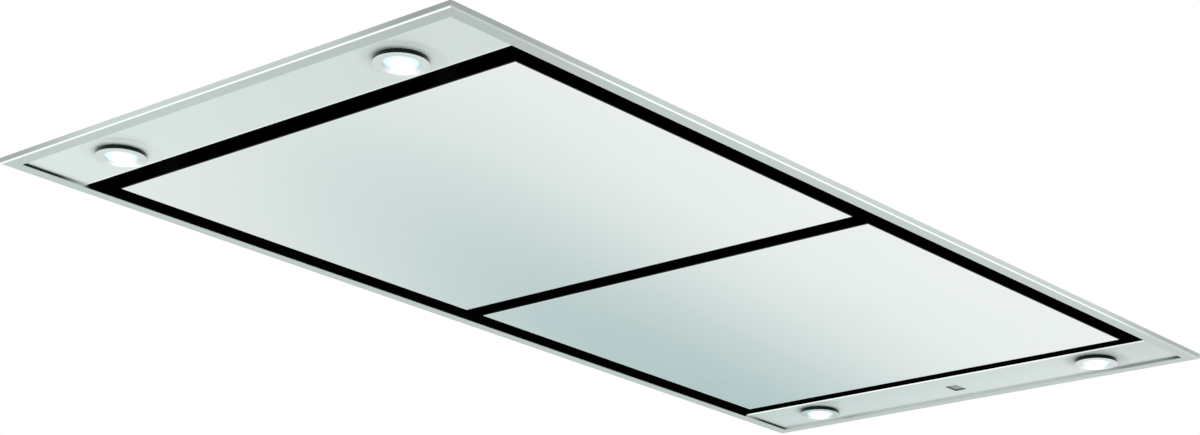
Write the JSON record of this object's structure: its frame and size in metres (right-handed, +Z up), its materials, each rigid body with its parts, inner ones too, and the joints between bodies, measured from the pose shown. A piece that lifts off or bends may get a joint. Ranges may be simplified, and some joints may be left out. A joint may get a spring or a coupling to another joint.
{
  "type": "ceiling range hood",
  "caption": "Flush ceiling range hood with hinged suction panels, grease filters, a blower with a round duct outlet, end spotlights and hanging brackets.",
  "frame": {"origin": "centre of the four suspension slots, on the top face of the suspension tabs", "axes": "+X along the hood's length towards the receiver window, +Y towards the panels' hinges, +Z up into the ceiling"},
  "size_m": [1.2, 0.6, 0.338],
  "materials": {
    "stainless": "brushed stainless steel, fine straight grain",
    "galvanised": "galvanised sheet steel with a faint spangle",
    "black_steel": "matt black powder coat",
    "zinc_steel": "bright zinc plating",
    "chrome": "polished chrome plating",
    "lens": "white diffusing lens",
    "lamp_aluminium": "die-cast aluminium, as cast",
    "spring_steel": "bright spring steel",
    "filter_aluminium": "natural aluminium channel",
    "mesh_aluminium": "layered expanded aluminium mesh",
    "black_plastic": "fine-grained black plastic",
    "magnet": "dark sintered ferrite",
    "wheel_steel": "galvanised sheet steel",
    "motor_steel": "grey painted motor can",
    "shaft_steel": "ground steel",
    "control_plastic": "light grey flame-resistant plastic",
    "board": "green circuit board with black parts",
    "driver_plastic": "white plastic case",
    "lead_sheath": "grey flexible sheath",
    "smoked_plastic": "smoked infrared window"
  },
  "bodies": {
    "housing": {"trim_frame": "stainless", "lamp_plate_left": "stainless", "lamp_plate_right": "stainless", "body_roof": "galvanised", "side_wall_front": "galvanised", "side_wall_rear": "galvanised", "end_wall_left": "galvanised", "end_wall_right": "galvanised", "tray_shelf": "black_steel", "tray_walls": "black_steel", "centre_rail": "black_steel", "suspension_brackets": "galvanised", "bracket_bolts": "zinc_steel", "frame_screws": "zinc_steel", "hinge_brackets": "black_steel", "hinge_pins": "shaft_steel", "catch_brackets": "black_steel", "catch_magnets": "magnet", "blower_scroll": "galvanised", "blower_sides": "galvanised", "motor_body": "motor_steel", "motor_mount": "galvanised", "outlet_collar": "galvanised", "flap_pin": "shaft_steel", "control_box": "control_plastic", "control_box_lid": "control_plastic", "control_board": "board", "terminal_block": "control_plastic", "cable_gland": "black_plastic", "led_driver": "driver_plastic", "internal_leads": "lead_sheath", "lamp_bezels": "chrome", "lamp_lenses": "lens", "lamp_bodies": "lamp_aluminium", "lamp_clips": "spring_steel", "receiver_window": "smoked_plastic", "receiver_board": "board", "filter_frame_1": "filter_aluminium", "filter_mesh_1": "mesh_aluminium", "filter_frame_2": "filter_aluminium", "filter_mesh_2": "mesh_aluminium", "filter_frame_3": "filter_aluminium", "filter_mesh_3": "mesh_aluminium", "filter_frame_4": "filter_aluminium", "filter_mesh_4": "mesh_aluminium"},
    "panel_left": {"panel_skin_left": "stainless", "panel_back_left": "stainless", "hinge_arms_left": "zinc_steel"},
    "panel_right": {"panel_skin_right": "stainless", "panel_back_right": "stainless", "hinge_arms_right": "zinc_steel"},
    "rotor": {"impeller": "wheel_steel", "impeller_nut": "zinc_steel", "motor_shaft": "shaft_steel"},
    "flap_front": {"flap_front": "lamp_aluminium"},
    "flap_rear": {"flap_rear": "lamp_aluminium"},
    "latch_1": {"filter_latch_1": "black_plastic"},
    "latch_2": {"filter_latch_2": "black_plastic"},
    "latch_3": {"filter_latch_3": "black_plastic"},
    "latch_4": {"filter_latch_4": "black_plastic"}
  },
  "joints": [
    {"name": "panel_left_open", "type": "hinge", "parent": "housing", "child": "panel_left", "pos_m": [-0.24948, 0.2508, -0.277], "axis": [1, 0, 0], "range_deg": [0, 90]},
    {"name": "panel_right_open", "type": "hinge", "parent": "housing", "child": "panel_right", "pos_m": [0.24948, 0.2508, -0.277], "axis": [1, 0, 0], "range_deg": [0, 90]},
    {"name": "filter_latch_1_slide", "type": "slide", "parent": "housing", "child": "latch_1", "axis": [0, 1, 0], "range_m": [0, 0.0065], "stiffness_N_per_m": 250, "springref_m": -0.004},
    {"name": "filter_latch_2_slide", "type": "slide", "parent": "housing", "child": "latch_2", "axis": [0, 1, 0], "range_m": [0, 0.0065], "stiffness_N_per_m": 250, "springref_m": -0.004},
    {"name": "filter_latch_3_slide", "type": "slide", "parent": "housing", "child": "latch_3", "axis": [0, 1, 0], "range_m": [0, 0.0065], "stiffness_N_per_m": 250, "springref_m": -0.004},
    {"name": "filter_latch_4_slide", "type": "slide", "parent": "housing", "child": "latch_4", "axis": [0, 1, 0], "range_m": [0, 0.0065], "stiffness_N_per_m": 250, "springref_m": -0.004},
    {"name": "impeller_spin", "type": "hinge", "parent": "housing", "child": "rotor", "pos_m": [0, 0.045, -0.13501], "axis": [1, 0, 0], "continuous": true},
    {"name": "flap_front_open", "type": "hinge", "parent": "housing", "child": "flap_front", "pos_m": [0, 0, -0.02], "axis": [-1, 0, 0], "range_deg": [0, 80]},
    {"name": "flap_rear_open", "type": "hinge", "parent": "housing", "child": "flap_rear", "pos_m": [0, 0, -0.02], "axis": [1, 0, 0], "range_deg": [0, 80]}
  ]
}
